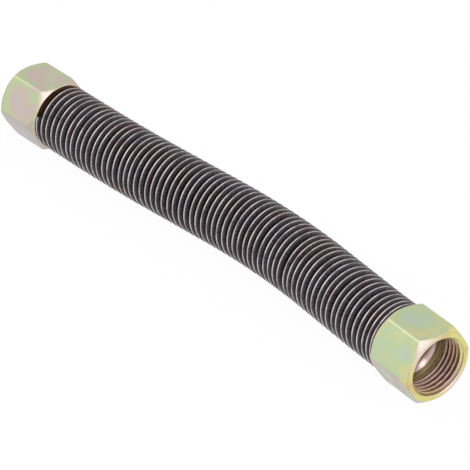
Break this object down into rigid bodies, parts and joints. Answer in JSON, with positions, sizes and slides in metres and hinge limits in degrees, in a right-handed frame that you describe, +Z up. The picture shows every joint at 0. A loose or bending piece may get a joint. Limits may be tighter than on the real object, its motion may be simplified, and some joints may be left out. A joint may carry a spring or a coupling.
{
  "type": "air compressor discharge tube",
  "caption": "Steel tube wound with a spiral cooling fin, gently bent, with flared ends and a free-turning hexagonal union nut at each end.",
  "frame": {"origin": "below the middle of the whole part, on the surface that it lies on", "axes": "+X from the far nut's mouth to the near nut's mouth, +Z up, and the tube's bend bulges towards +Y"},
  "size_m": [0.1958, 0.0292, 0.0222],
  "materials": {
    "tube_steel": "brown-grey steel, bright at the flares",
    "fin_steel": "dark oxide with bright worn edges",
    "nut_zinc": "iridescent yellow zinc plating"
  },
  "bodies": {
    "finned_tube": {"tube": "tube_steel", "fin_strip": "fin_steel"},
    "near_nut": {"near_nut": "nut_zinc"},
    "far_nut": {"far_nut": "nut_zinc"}
  },
  "joints": [
    {"name": "near_nut_swivel", "type": "hinge", "parent": "finned_tube", "child": "near_nut", "pos_m": [0.08, -0.0009, 0.01111], "axis": [0.9984, -0.0559, 0], "continuous": true},
    {"name": "far_nut_swivel", "type": "hinge", "parent": "finned_tube", "child": "far_nut", "pos_m": [-0.08034, -0.00147, 0.01111], "axis": [-0.9997, -0.0226, 0], "continuous": true}
  ]
}
